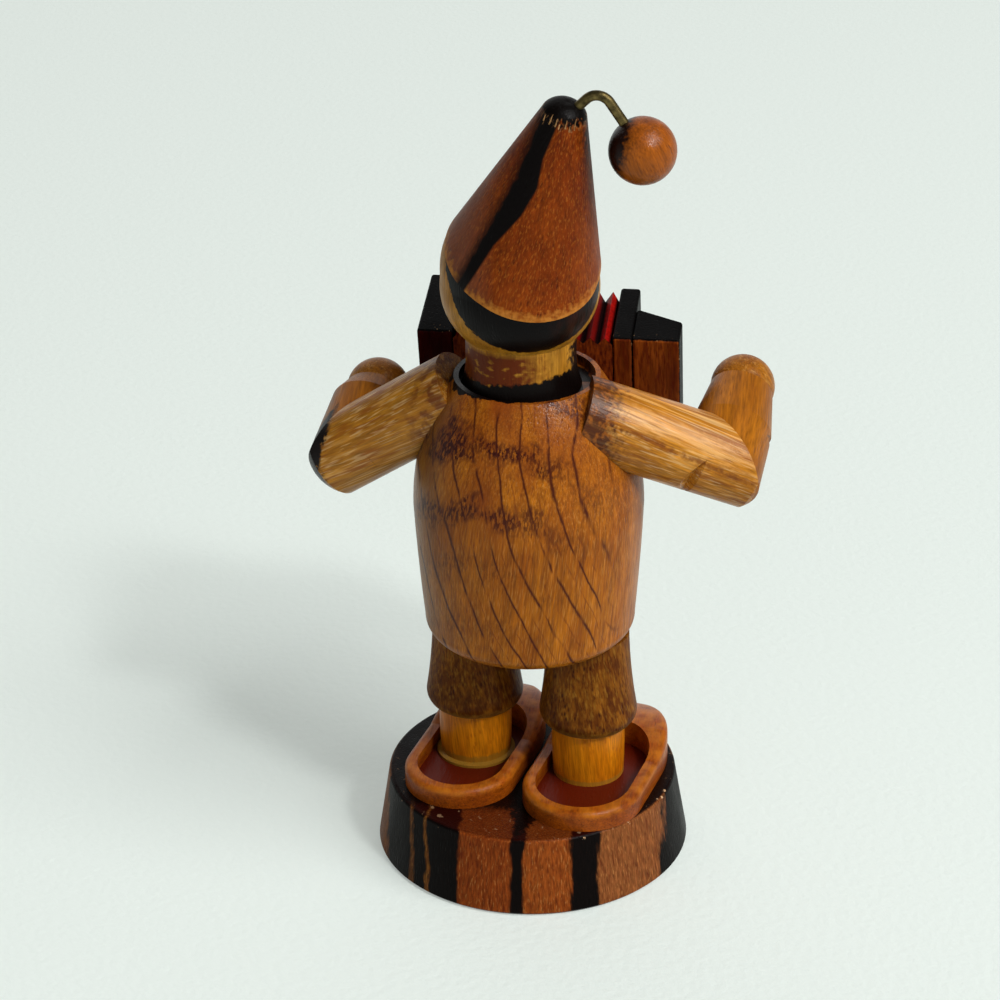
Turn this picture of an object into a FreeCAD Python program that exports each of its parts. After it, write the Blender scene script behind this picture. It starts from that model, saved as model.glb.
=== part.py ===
"""Wooden incense smoker: a turned figure that plays a piano accordion.

Millimetres. The figure faces -Y and stands on Z = 0; its right hand is on the -X side.
The origin is the centre of the base's underside. The base, shoes and legs are turned a
little against the coat, as the figure was left standing: the coat turns on the seat.
"""
import FreeCAD, Part
import math
import os
import re
import Sketcher
from FreeCAD import Placement, Rotation, Vector

SIZES = {
    # Round base and the turn of everything that is glued to it, in degrees.
    "base_height": 12.65,
    "base_bottom_radius": 25.0,
    "base_top_radius": 23.1,
    "base_edge_round": 0.7,
    "base_foot_round": 0.5,
    "stand_turn_angle": 12.0,
    # Clogs: an outline about the middle of the shoe, a rim, a domed toe cap and an open mouth.
    "right_shoe_side": 11.3,
    "left_shoe_side": 9.1,
    "right_shoe_half_width": 9.6,
    "left_shoe_half_width": 9.0,
    "shoe_heel_reach": 17.2,
    "shoe_toe_reach": 19.6,
    "shoe_ball_reach": 3.0,
    "shoe_toe_share": 0.5,
    "shoe_wall": 2.0,
    "shoe_sole": 0.9,
    "shoe_rim_height": 3.2,
    "shoe_cap_height": 5.2,
    "shoe_toe_height": 1.7,
    "shoe_mouth_reach": 9.4,
    "shoe_rim_round": 1.0,
    # Legs: socks in the clogs, trousers over the socks, a dowel through each leg.
    "leg_spread": 9.6,
    "sock_radius": 5.65,
    "sock_swell": 0.15,
    "sock_length": 11.0,
    "sock_in_hem": 1.5,
    "glue_ring_radius": 6.3,
    "glue_ring_height": 0.7,
    "trouser_height": 15.8,
    "trouser_top_radius": 6.5,
    "trouser_hem_radius": 7.7,
    "trouser_mouth_radius": 6.7,
    "trouser_hem_rise": 2.6,
    "leg_dowel_radius": 2.0,
    "leg_dowel_in_base": 6.0,
    "leg_dowel_in_trouser": 9.0,
    "glue_gap": 0.05,
    # Seat: a turned disc on the legs that carries the coat and the cone pan.
    "seat_radius": 11.5,
    "seat_height": 6.0,
    "seat_edge_chamfer": 0.6,
    "pan_recess_depth": 0.8,
    "air_hole_radius": 1.3,
    "pan_radius": 7.0,
    "pan_height": 1.7,
    "pan_wall": 0.4,
    "pan_play": 0.2,
    # Coat: a hollow turned body with a smoke chamber.
    "coat_height": 42.9,
    "coat_rim_radius": 15.3,
    "coat_edge_radius": 16.5,
    "coat_edge_height": 2.4,
    "coat_girth_radius": 17.85,
    "coat_girth_height": 21.5,
    "coat_side_bulge": 0.12,
    "coat_top_radius": 11.2,
    "shoulder_bulge": 1.78,
    "seat_play": 0.1,
    "chamber_height": 19.0,
    "funnel_height": 7.5,
    # Neck and head: a turned piece with a hollow spigot, a flue and a round mouth.
    "neck_side": 0.9,
    "neck_socket_radius": 10.4,
    "neck_socket_depth": 1.6,
    "neck_foot_radius": 9.25,
    "neck_radius": 8.4,
    "neck_foot_height": 4.0,
    "neck_spigot_radius": 5.0,
    "neck_spigot_length": 7.0,
    "running_fit": 0.08,
    "head_radius": 11.95,
    "jaw_radius": 11.0,
    "jaw_drop": 7.3,
    "chin_drop": 10.7,
    "head_rise": 17.4,
    "flue_radius": 2.6,
    "mouth_radius": 1.6,
    "mouth_drop": 6.0,
    "nose_radius": 1.9,
    "nose_drop": 1.6,
    "nose_reach": 0.7,
    "eye_radius": 1.0,
    "eye_side": 3.7,
    "eye_rise": 0.9,
    # Hat: a leaning drop whose seat on the head is tipped back, with a bead on a wire.
    "hat_radius": 12.15,
    "hat_lip": 0.2,
    "hat_length": 30.3,
    "hat_tip_radius": 3.25,
    "hat_tip_round": 1.5,
    "hat_lean_side_angle": 16.0,
    "hat_lean_back_angle": 13.0,
    "hat_seat_lean_side_angle": 15.9,
    "hat_seat_lean_back_angle": 27.9,
    "hat_seat_rise": 2.9,
    "wire_radius": 0.75,
    "wire_grip": 3.2,
    "wire_bend": 2.2,
    "crest_side": 4.6,
    "crest_rise": 2.4,
    "bobble_radius": 4.97,
    "bobble_side": 10.8,
    "bobble_drop": 6.9,
    # Arms: round rods, mitred at the elbow and let into the coat, with ball hands.
    "arm_radius": 6.25,
    "wrist_radius": 4.95,
    "arm_in_coat": 3.6,
    "elbow_cuff": 0.5,
    "elbow_round": 7.6,
    "elbow_round_start": 0.5,
    "hand_radius": 5.0,
    "hand_rise": 1.2,
    "hand_peg_radius": 1.5,
    "hand_peg_length": 4.0,
    "right_shoulder_side": 11.5,
    "right_shoulder_front": -3.4,
    "right_shoulder_drop": 5.75,
    "right_elbow_side": 30.0,
    "right_elbow_front": 0.8,
    "right_elbow_drop": 13.35,
    "right_wrist_side": 31.6,
    "right_wrist_front": 13.6,
    "right_wrist_drop": 7.75,
    "left_shoulder_side": 13.1,
    "left_shoulder_front": 0.5,
    "left_shoulder_drop": 5.15,
    "left_elbow_side": 27.6,
    "left_elbow_front": 3.0,
    "left_elbow_drop": 15.05,
    "left_wrist_side": 26.0,
    "left_wrist_front": 13.4,
    "left_wrist_drop": 10.95,
    # Accordion: its flat back leans against a flat on the coat.
    "accordion_tilt_angle": 12.0,
    "accordion_front": 13.7,
    "accordion_top_rise": 0.25,
    "accordion_height": 24.0,
    "accordion_right_reach": 21.9,
    "bass_case_width": 5.7,
    "bass_case_depth": 15.6,
    "bellows_width": 25.0,
    "bellows_depth": 12.6,
    "bellows_fold_depth": 1.2,
    "bellows_folds": 11,
    "treble_case_width": 3.1,
    "treble_case_depth": 13.9,
    "keyboard_width": 7.4,
    "keyboard_inner_depth": 8.4,
    "keyboard_outer_depth": 5.3,
    "case_round": 0.45,
    "key_margin": 0.8,
    "key_thickness": 0.7,
    "key_groove": 0.25,
    "white_key_count": 12,
    "black_key_width": 0.95,
    "black_key_length": 4.2,
    "black_key_thickness": 0.5,
    "black_key_bevel": 0.15,
    "accordion_peg_radius": 1.75,
    "accordion_peg_in_coat": 3.0,
    "accordion_peg_in_bellows": 6.0,
    # One overrun serves every cutting tool that has to pass a surface.
    "overrun": 60.0,
}

# Which gaps between white keys carry a black key: the usual two and three.
BLACK_KEY_GAPS = (1, 2, 4, 5, 6, 8, 9, 11)

# The figure's two sides and their direction along X.
SIDES = {"right": "-1", "left": "1"}

# Levels above the table, as expressions of the sizes.
SHOE_FLOOR = "(base_height + shoe_sole)"
HEM_LEVEL = f"({SHOE_FLOOR} + sock_length - sock_in_hem)"
SEAT_LEVEL = f"({HEM_LEVEL} + trouser_height)"
COAT_TOP = f"({SEAT_LEVEL} + coat_height)"
NECK_FLOOR = f"({COAT_TOP} - neck_socket_depth)"
HEAD_LEVEL = f"({COAT_TOP} + head_rise)"
PAN_RECESS_RADIUS = "(pan_radius + pan_play)"
CHAMBER_RADIUS = "(seat_radius + seat_play)"
NECK_BORE_RADIUS = "(neck_spigot_radius + running_fit)"

doc = FreeCAD.newDocument("incense_smoker")
sheet = doc.addObject("Spreadsheet::Sheet", "sizes")
for row, (alias, number) in enumerate(SIZES.items(), start=1):
    sheet.set(f"A{row}", alias)
    sheet.set(f"B{row}", str(number))
    sheet.setAlias(f"B{row}", alias)
doc.recompute()

nodes = []


def cells(text):
    """Point every size in an expression at its cell of the sheet."""
    return re.sub(r"[a-z]\w*", lambda word: f"sizes.{word[0]}" if word[0] in SIZES else word[0], text)


def value(text):
    """The present number of an expression."""
    return float(sheet.evalExpression(cells(text)))


def point(across, back, height):
    return Vector(value(across), value(back), value(height))


def bind(item, **links):
    """Tie properties of an object to expressions of the sizes."""
    for name, text in links.items():
        item.setExpression(name, cells(text))
    return item


def place(item, across="0", back="0", height="0", turn=None):
    """Tie an object's place to the sizes; turn is an angle about the vertical."""
    if turn:
        item.Placement = Placement(Vector(), Rotation(Vector(0, 0, 1), 1))
        item.setExpression("Placement.Rotation.Angle", cells(turn))
    for letter, text in zip("xyz", (across, back, height)):
        item.setExpression(f"Placement.Base.{letter}", cells(text))
    return item


def aim(item, start, direction):
    """Set an object's own Z along a direction from a point."""
    item.Placement = Placement(start, Rotation(Vector(0, 0, 1), direction))
    return item


def node(name, item):
    """Name a finished sub-part."""
    item.Label = name
    nodes.append(item)
    return item


def new_body(name):
    return doc.addObject("PartDesign::Body", name)


def cylinder(name, radius, height):
    return bind(doc.addObject("Part::Cylinder", name), Radius=radius, Height=height)


def sphere(name, radius):
    return bind(doc.addObject("Part::Sphere", name), Radius=radius)


def half_space(name, origin, normal):
    """A large block whose face lies at a point and that reaches along a direction."""
    block = doc.addObject("Part::Box", name)
    bind(block, Length="2 * overrun", Width="2 * overrun", Height="2 * overrun")
    aim(block, Vector(), normal)
    corner = block.Placement.Rotation.multVec(Vector(-1, -1, 0) * value("overrun"))
    block.Placement.Base = origin + corner
    return block


def cut(item, *tools):
    for tool in tools:
        step = doc.addObject("Part::Cut", f"{item.Name}_cut")
        step.Base = item
        step.Tool = tool
        item = step
    return item


def fuse(*items):
    joined = doc.addObject("Part::MultiFuse", f"{items[0].Name}_fuse")
    joined.Shapes = list(items)
    return joined


def sketch_on(body, plane_role, corners, offset=None):
    """Draw a closed outline on a plane of the body.

    A corner is (x, y), reached by a line, or (x, y, via_x, via_y), reached by an arc
    through the second point. Every number is an expression of the sizes.
    """
    sketch = body.newObject("Sketcher::SketchObject", f"{body.Name}_outline")
    plane = next(item for item in body.Origin.OriginFeatures if item.Role == plane_role)
    sketch.AttachmentSupport = [(plane, "")]
    sketch.MapMode = "FlatFace"
    if offset:
        sketch.setExpression("AttachmentOffset.Base.z", cells(offset))

    def pin(edge, end, across, up):
        for kind, text in (("DistanceX", across), ("DistanceY", up)):
            rule = Sketcher.Constraint(kind, -1, 1, edge, end, value(text))
            sketch.setExpression(f"Constraints[{sketch.addConstraint(rule)}]", cells(text))

    spots = [Vector(value(corner[0]), value(corner[1]), 0) for corner in corners]
    edges = []
    for index, corner in enumerate(corners):
        start, end = spots[index - 1], spots[index]
        if len(corner) == 2:
            edges.append(sketch.addGeometry(Part.LineSegment(start, end), False))
        else:
            via = Vector(value(corner[2]), value(corner[3]), 0)
            edges.append(sketch.addGeometry(Part.Arc(start, via, end), False))
            mark = sketch.addGeometry(Part.Point(via), True)
            pin(mark, 1, corner[2], corner[3])
            sketch.addConstraint(Sketcher.Constraint("PointOnObject", mark, 1, edges[-1]))

    def end_near(edge, spot):
        gaps = {end: sketch.getPoint(edge, end).distanceToPoint(spot) for end in (1, 2)}
        return min(gaps, key=gaps.get)

    for index, corner in enumerate(corners):
        spot = spots[index]
        this_edge, next_edge = edges[index], edges[(index + 1) % len(edges)]
        this_end = end_near(this_edge, spot)
        joint = (this_edge, this_end, next_edge, end_near(next_edge, spot))
        sketch.addConstraint(Sketcher.Constraint("Coincident", *joint))
        pin(this_edge, this_end, corner[0], corner[1])
    return sketch


def revolve(name, corners):
    """A turned piece: an outline in the XZ plane, turned about the body's Z."""
    body = new_body(name)
    profile = sketch_on(body, "XZ_Plane", corners)
    turned = body.newObject("PartDesign::Revolution", f"{name}_turned")
    turned.Profile = profile
    turned.ReferenceAxis = (profile, ["V_Axis"])
    turned.Angle = 360
    return body


def pad(body, profile, length):
    solid = body.newObject("PartDesign::Pad", f"{body.Name}_pad")
    solid.Profile = profile
    return bind(solid, Length=length)


def round_edges(body, radius, edges=None):
    """Round the named edges of a body, or all of them."""
    base = body.Tip
    rounding = body.newObject("PartDesign::Fillet", f"{body.Name}_round")
    rounding.Base = (base, edges or [])
    rounding.UseAllEdges = edges is None
    return bind(rounding, Radius=radius)


def bevel_edges(body, size):
    """Break every edge of a body with a flat bevel."""
    base = body.Tip
    bevel = body.newObject("PartDesign::Chamfer", f"{body.Name}_bevel")
    bevel.Base = (base, [])
    bevel.UseAllEdges = True
    return bind(bevel, Size=size)


def make_base():
    """Turned disc, a little narrower at the top, with a hole for each leg dowel."""
    blank = revolve("base_blank", [
        ("0", "0"),
        ("base_bottom_radius - base_foot_round", "0"),
        ("base_bottom_radius", "base_foot_round"),
        ("base_top_radius", "base_height - base_edge_round"),
        ("base_top_radius - base_edge_round", "base_height",
         "base_top_radius - base_edge_round * 0.3", "base_height - base_edge_round * 0.3"),
        ("0", "base_height"),
    ])
    holes = [leg_hole(f"base_hole_{name}", side, "base_height - leg_dowel_in_base", "overrun")
             for name, side in SIDES.items()]
    place(blank, turn="-stand_turn_angle")
    node("base", cut(blank, *holes))


def on_stand(item, across, back, height):
    """Place an object that is glued to the base, in the base's turned axes."""
    turned_across = f"({across}) * cos(stand_turn_angle) + ({back}) * sin(stand_turn_angle)"
    turned_back = f"({back}) * cos(stand_turn_angle) - ({across}) * sin(stand_turn_angle)"
    return place(item, turned_across, turned_back, height, turn="-stand_turn_angle")


def leg_hole(name, side, height, length):
    hole = cylinder(name, "leg_dowel_radius + glue_gap", length)
    return on_stand(hole, f"{side} * leg_spread", "0", height)


def make_shoe(name, side):
    """Clog with a domed toe cap; the mouth is open round the sock."""
    body = new_body(f"{name}_shoe_body")
    half = f"{name}_shoe_half_width"
    toe = f"({half} * shoe_toe_share)"
    heel_level = f"(shoe_heel_reach - {half})"
    toe_level = f"({toe} - shoe_toe_reach)"
    # The side runs straight to the ball of the foot, then follows an arc that meets the toe's.
    fall = f"({toe_level} + shoe_ball_reach)"
    side_arc = f"(({half} ^ 2 + {fall} ^ 2 - {toe} ^ 2) / (2 * ({half} - {toe})))"
    meet_across = f"(({side_arc} - {half}) / ({side_arc} - {toe}))"
    meet_down = f"({fall} / ({side_arc} - {toe}))"
    spread = f"sqrt((1 + {meet_across}) ^ 2 + {meet_down} ^ 2)"
    via_across = f"({half} - {side_arc} + {side_arc} * (1 + {meet_across}) / {spread})"
    via_down = f"({side_arc} * {meet_down} / {spread} - shoe_ball_reach)"
    outline = sketch_on(body, "XY_Plane", [
        (half, heel_level),
        (f"-{half}", heel_level, "0", "shoe_heel_reach"),
        (f"-{half}", "-shoe_ball_reach"),
        (f"-{toe} * {meet_across}", f"{toe_level} + {toe} * {meet_down}", f"-{via_across}", via_down),
        (f"{toe} * {meet_across}", f"{toe_level} + {toe} * {meet_down}", "0", "-shoe_toe_reach"),
        (half, "-shoe_ball_reach", via_across, via_down),
    ])
    pad(body, outline, "shoe_cap_height * 1.2")
    skyline = sketch_on(body, "YZ_Plane", [
        ("shoe_heel_reach * 1.1", "shoe_rim_height"),
        ("-shoe_toe_reach * 0.05", "shoe_rim_height * 1.1"),
        ("-shoe_toe_reach * 0.42", "shoe_cap_height",
         "-shoe_toe_reach * 0.22", "shoe_rim_height * 0.4 + shoe_cap_height * 0.6"),
        ("-shoe_toe_reach * 1.05", "shoe_toe_height",
         "-shoe_toe_reach * 0.8", "shoe_cap_height * 0.82"),
        ("-shoe_toe_reach * 1.05", "shoe_cap_height * 2"),
        ("shoe_heel_reach * 1.1", "shoe_cap_height * 2"),
    ])
    trim = body.newObject("PartDesign::Pocket", f"{name}_shoe_skyline")
    trim.Profile = skyline
    trim.Type = "ThroughAll"
    trim.SideType = "Symmetric"
    mouth = sketch_on(body, "XY_Plane", [
        (f"-{half} + shoe_wall", f"shoe_heel_reach - {half}",
         "0", "shoe_heel_reach - shoe_wall"),
        (f"-{half} + shoe_wall", f"{half} - shoe_wall - shoe_mouth_reach"),
        (f"{half} - shoe_wall", f"{half} - shoe_wall - shoe_mouth_reach",
         "0", "-shoe_mouth_reach"),
        (f"{half} - shoe_wall", f"shoe_heel_reach - {half}"),
    ], offset="shoe_sole")
    opening = body.newObject("PartDesign::Pocket", f"{name}_shoe_mouth")
    opening.Profile = mouth
    opening.Type = "ThroughAll"
    opening.Reversed = True
    doc.recompute()
    rim = [f"Edge{number}" for number, edge in enumerate(body.Tip.Shape.Edges, start=1)
           if outer_rim(edge, half)]
    round_edges(body, "shoe_rim_round", rim)
    on_stand(body, f"{side} * {name}_shoe_side", "0", "base_height")
    hole = leg_hole(f"{name}_shoe_hole", side, "0", "overrun")
    node(f"{name}_shoe", cut(body, hole))


def outer_rim(edge, half):
    """Whether an edge of a clog runs along the top of its outer wall."""
    low = value("shoe_toe_height * 0.5")
    inner = value(f"{half} - shoe_wall * 0.5")
    middle = edge.valueAt((edge.FirstParameter + edge.LastParameter) / 2)
    level = edge.BoundBox.ZMin > low
    ends = (middle.y > value("shoe_heel_reach - shoe_wall * 0.5")
            or middle.y < -value("shoe_mouth_reach + shoe_wall"))
    flat = edge.BoundBox.ZLength < value("shoe_rim_height")
    upright = edge.BoundBox.XLength + edge.BoundBox.YLength < value("glue_gap")
    return level and flat and not upright and (abs(middle.x) > inner or ends)


def make_leg(name, side):
    """Sock, trouser leg and the dowel that holds them to the base."""
    ring = "glue_ring_radius" if name == "left" else "sock_radius"
    sock = revolve(f"{name}_sock_blank", [
        ("0", "0"),
        (ring, "0"),
        (ring, "glue_ring_height * 0.6"),
        ("sock_radius", "glue_ring_height"),
        ("sock_radius", "sock_length", "sock_radius + sock_swell", "sock_length * 0.45"),
        ("0", "sock_length"),
    ])
    on_stand(sock, f"{side} * leg_spread", "0", SHOE_FLOOR)
    node(f"{name}_sock", cut(sock, leg_hole(f"{name}_sock_hole", side, "0", "overrun")))

    trouser = revolve(f"{name}_trouser_blank", [
        ("0", "sock_in_hem"),
        ("sock_radius + sock_swell + glue_gap", "sock_in_hem"),
        ("sock_radius + sock_swell + glue_gap", "0"),
        ("trouser_mouth_radius", "0"),
        ("trouser_hem_radius", "trouser_hem_rise",
         "trouser_hem_radius - (trouser_hem_radius - trouser_mouth_radius) * 0.3",
         "trouser_hem_rise * 0.3"),
        ("trouser_top_radius", "trouser_height",
         "(trouser_hem_radius + trouser_top_radius) / 2 - sock_swell", "trouser_height * 0.52"),
        ("0", "trouser_height"),
    ])
    on_stand(trouser, f"{side} * leg_spread", "0", HEM_LEVEL)
    top = f"{HEM_LEVEL} + sock_in_hem + leg_dowel_in_trouser"
    hole = leg_hole(f"{name}_trouser_hole", side, "0", top)
    node(f"{name}_trouser", cut(trouser, hole))

    dowel = cylinder(f"{name}_dowel_rod", "leg_dowel_radius",
                     f"{top} - glue_gap - (base_height - leg_dowel_in_base)")
    on_stand(dowel, f"{side} * leg_spread", "0", "base_height - leg_dowel_in_base")
    node(f"{name}_leg_dowel", dowel)


def make_seat():
    """Disc on the legs: the coat turns on it, the pan lies in its recess, air comes up beside it."""
    disc = revolve("seat_blank", [
        ("0", "0"),
        ("seat_radius", "0"),
        ("seat_radius", "seat_height - seat_edge_chamfer"),
        ("seat_radius - seat_edge_chamfer", "seat_height"),
        (PAN_RECESS_RADIUS, "seat_height"),
        (PAN_RECESS_RADIUS, "seat_height - pan_recess_depth"),
        ("0", "seat_height - pan_recess_depth"),
    ])
    on_stand(disc, "0", "0", SEAT_LEVEL)
    holes = []
    for side in ("1", "-1"):
        hole = cylinder("air_hole", "air_hole_radius", "overrun")
        holes.append(on_stand(hole, "0", f"{side} * ({PAN_RECESS_RADIUS} + seat_radius) / 2", HEM_LEVEL))
    node("seat_disc", cut(disc, *holes))

    pan = revolve("cone_pan_body", [
        ("0", "0"),
        ("pan_radius - pan_wall", "0"),
        ("pan_radius", "pan_wall"),
        ("pan_radius", "pan_height"),
        ("pan_radius - pan_wall", "pan_height"),
        ("pan_radius - pan_wall", "pan_wall"),
        ("0", "pan_wall"),
    ])
    place(pan, height=f"{SEAT_LEVEL} + seat_height - pan_recess_depth")
    node("cone_pan", pan)


def arm_points(name):
    """Shoulder, elbow and wrist of one arm, with the directions between them."""
    side = "-" if name == "right" else ""
    shoulder, elbow, wrist = (
        point(f"{side}{name}_{joint}_side", f"-{name}_{joint}_front", f"{COAT_TOP} - {name}_{joint}_drop")
        for joint in ("shoulder", "elbow", "wrist"))
    upper = (elbow - shoulder).normalize()
    fore = (wrist - elbow).normalize()
    return shoulder, elbow, wrist, upper, fore


def make_arm(name, neck_room):
    """Upper arm and forearm, mitred at the elbow, and a ball hand on a peg."""
    shoulder, elbow, wrist, upper, fore = arm_points(name)
    inner_end = shoulder - upper * value("arm_in_coat")
    mitre = (upper + fore).normalize()
    rod = cylinder(f"{name}_upper_rod", "arm_radius", "overrun")
    aim(rod, inner_end, upper)
    beyond = half_space(f"{name}_elbow_beyond", elbow, mitre)
    outward = (upper - fore).normalize()
    point_room = half_space(f"{name}_elbow_point", elbow + outward * value("elbow_round_start"), outward)
    ball_of_elbow = aim(sphere(f"{name}_elbow_ball", "elbow_round"), elbow, outward)
    point_waste = cut(point_room, ball_of_elbow)
    node(f"{name}_upper_arm", cut(rod, beyond, neck_room, point_waste))

    reach = (wrist - elbow).Length
    corner = value("arm_radius") * math.tan(upper.getAngle(fore) / 2)
    straight = corner + value("elbow_cuff")
    sleeve = Part.makeCylinder(value("arm_radius"), 2 * straight, Vector(0, 0, -straight))
    taper = Part.makeCone(value("arm_radius"), value("wrist_radius"), reach - straight, Vector(0, 0, straight))
    peg_hole = Part.makeCylinder(value("hand_peg_radius + glue_gap"), value("hand_peg_length + glue_gap"),
                                 Vector(0, 0, reach), Vector(0, 0, -1))
    blank = doc.addObject("Part::Feature", f"{name}_forearm_blank")
    blank.Shape = sleeve.fuse(taper).cut(peg_hole).removeSplitter()
    aim(blank, elbow, fore)
    behind = half_space(f"{name}_elbow_behind", elbow, -mitre)
    node(f"{name}_forearm", cut(blank, behind, point_waste))

    ball = sphere(f"{name}_hand_ball", "hand_radius")
    aim(ball, wrist + fore * value("hand_rise"), fore)
    below = half_space(f"{name}_wrist_plane", wrist, -fore)
    peg = cylinder(f"{name}_hand_peg", "hand_peg_radius", "hand_peg_length + hand_rise")
    aim(peg, wrist - fore * value("hand_peg_length"), fore)
    node(f"{name}_hand", fuse(cut(ball, below), peg))


def make_coat(neck_room):
    """Hollow coat: it drops over the seat, holds the smoke and takes neck, arms and accordion."""
    blank = revolve("coat_blank", [
        (CHAMBER_RADIUS, "0"),
        ("coat_rim_radius", "0"),
        ("coat_edge_radius", "coat_edge_height",
         "coat_edge_radius - (coat_edge_radius - coat_rim_radius) * 0.3", "coat_edge_height * 0.36"),
        ("coat_girth_radius", "coat_girth_height",
         "(coat_edge_radius + coat_girth_radius) / 2 + coat_side_bulge",
         "(coat_edge_height + coat_girth_height) / 2"),
        ("coat_top_radius", "coat_height",
         "(coat_girth_radius + coat_top_radius) / 2 + shoulder_bulge",
         "(coat_girth_height + coat_height) / 2"),
        ("0", "coat_height"),
        ("0", "chamber_height + funnel_height"),
        ("neck_spigot_radius", "chamber_height + funnel_height"),
        (CHAMBER_RADIUS, "chamber_height"),
    ])
    place(blank, height=SEAT_LEVEL)
    tools = []
    for name in SIDES:
        shoulder, _, _, upper, _ = arm_points(name)
        socket = cylinder(f"{name}_arm_socket", "arm_radius + glue_gap", "overrun")
        tools.append(aim(socket, shoulder - upper * value("arm_in_coat"), upper))
    bore = cylinder("neck_bore", NECK_BORE_RADIUS, "overrun")
    tools.append(place(bore, "neck_side", "0", f"{SEAT_LEVEL} + chamber_height"))
    tools.append(neck_room)
    tools.append(half_space("belly_flat", accordion_point("0", "0", "0"), accordion_direction(0, -1, 0)))
    tools.append(accordion_peg("belly_peg_hole", "accordion_peg_radius + glue_gap"))
    node("torso", cut(blank, *tools))


def accordion_placement():
    """The accordion's own axes: X as the figure's, Y into the figure, Z up its back face."""
    top = point("0", "-accordion_front", f"{COAT_TOP} + accordion_top_rise")
    return Placement(top, Rotation(Vector(1, 0, 0), -value("accordion_tilt_angle")))


def accordion_point(across, back, height):
    return accordion_placement().multVec(point(across, back, height))


def accordion_direction(across, back, height):
    return accordion_placement().Rotation.multVec(Vector(across, back, height))


def accordion_peg(name, radius):
    """Peg square to the accordion's back, at the middle of the flat on the coat."""
    peg = cylinder(name, radius, "accordion_peg_in_coat + accordion_peg_in_bellows")
    middle = "-accordion_height * 0.54"
    return aim(peg, accordion_point("0", "accordion_peg_in_coat", middle), accordion_direction(0, -1, 0))


def case(name, right, width, inner_depth, outer_depth=None):
    """A wooden case of the accordion; its depth may fall off towards the figure's right."""
    body = new_body(f"{name}_body")
    outline = sketch_on(body, "XY_Plane", [
        (right, "0"),
        (right, f"-{outer_depth or inner_depth}"),
        (f"{right} + {width}", f"-{inner_depth}"),
        (f"{right} + {width}", "0"),
    ])
    pad(body, outline, "accordion_height").Reversed = True
    doc.recompute()
    round_edges(body, "case_round")
    body.Placement = accordion_placement()
    return node(name, body)


def make_bellows(right):
    """Ruled folds on top, front and bottom; the back is one flat board."""
    body = new_body("bellows_body")

    def section(offset, inset):
        return sketch_on(body, "YZ_Plane", [
            ("0", f"-{inset}"),
            ("0", f"{inset} - accordion_height"),
            (f"{inset} - bellows_depth", f"{inset} - accordion_height"),
            (f"{inset} - bellows_depth", f"-{inset}"),
        ], offset=f"{right} + {offset}")

    pitch = "bellows_width / bellows_folds"
    valley = section("0", "bellows_fold_depth")
    fold = body.newObject("PartDesign::AdditiveLoft", "bellows_fold")
    fold.Profile = valley
    fold.Sections = [section(f"{pitch} * 0.5", "0"), section(pitch, "bellows_fold_depth")]
    fold.Ruled = True
    doc.recompute()
    folds = body.newObject("PartDesign::LinearPattern", "bellows_folds_row")
    folds.Originals = [fold]
    folds.Direction = (valley, ["N_Axis"])
    bind(folds, Length=f"bellows_width - {pitch}", Occurrences="bellows_folds")
    body.Tip = folds
    body.Placement = accordion_placement()
    hole = accordion_peg("bellows_peg_hole", "accordion_peg_radius + glue_gap")
    node("bellows", cut(body, hole))


def make_keys():
    """White keys as one grooved plate on the slanting front of the keyboard, black keys on top."""
    slope = "atan((keyboard_inner_depth - keyboard_outer_depth) / keyboard_width)"
    length = f"(keyboard_width / cos({slope}) - 2 * key_margin)"
    height = "(accordion_height - 2 * key_margin)"
    pitch = f"({height} / white_key_count)"

    def on_keyboard(item, along, out, up):
        corner = accordion_placement().multiply(Placement(
            point("-accordion_right_reach", "-keyboard_outer_depth", "-key_margin"),
            Rotation(Vector(0, 0, 1), -value(slope))))
        item.Placement = corner.multiply(Placement(point(along, out, up), Rotation()))
        return item

    body = new_body("white_keys_body")
    plate = sketch_on(body, "XY_Plane", [
        ("0", "0"),
        ("0", "-key_thickness"),
        (length, "-key_thickness"),
        (length, "0"),
    ])
    pad(body, plate, height).Reversed = True
    groove = sketch_on(body, "YZ_Plane", [
        ("-key_thickness", f"-{pitch} + key_groove / 2"),
        ("-key_thickness - key_groove", f"-{pitch} + key_groove / 2"),
        ("-key_thickness - key_groove", f"-{pitch} - key_groove / 2"),
        ("-key_thickness", f"-{pitch} - key_groove / 2"),
        ("-key_thickness + key_groove", f"-{pitch}"),
    ])
    parting = body.newObject("PartDesign::Pocket", "key_parting")
    parting.Profile = groove
    parting.Type = "ThroughAll"
    parting.SideType = "Symmetric"
    doc.recompute()
    row = body.newObject("PartDesign::LinearPattern", "key_partings")
    row.Originals = [parting]
    row.Direction = (plate, ["N_Axis"])
    row.Reversed = True
    bind(row, Length=f"{height} - 2 * {pitch}", Occurrences="white_key_count - 1")
    body.Tip = row
    node("white_keys", on_keyboard(body, "key_margin", "0", "0"))

    for number, gap in enumerate(BLACK_KEY_GAPS, start=1):
        key = new_body(f"black_key_{number}_body")
        outline = sketch_on(key, "XY_Plane", [
            ("0", "0"),
            ("0", "-black_key_thickness"),
            ("black_key_length", "-black_key_thickness"),
            ("black_key_length", "0"),
        ])
        pad(key, outline, "black_key_width")
        doc.recompute()
        bevel_edges(key, "black_key_bevel")
        inner_end = f"key_margin + {length} - black_key_length"
        middle = f"-{gap} * {pitch} - black_key_width / 2"
        node(f"black_key_{number}", on_keyboard(key, inner_end, "-key_thickness", middle))


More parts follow.
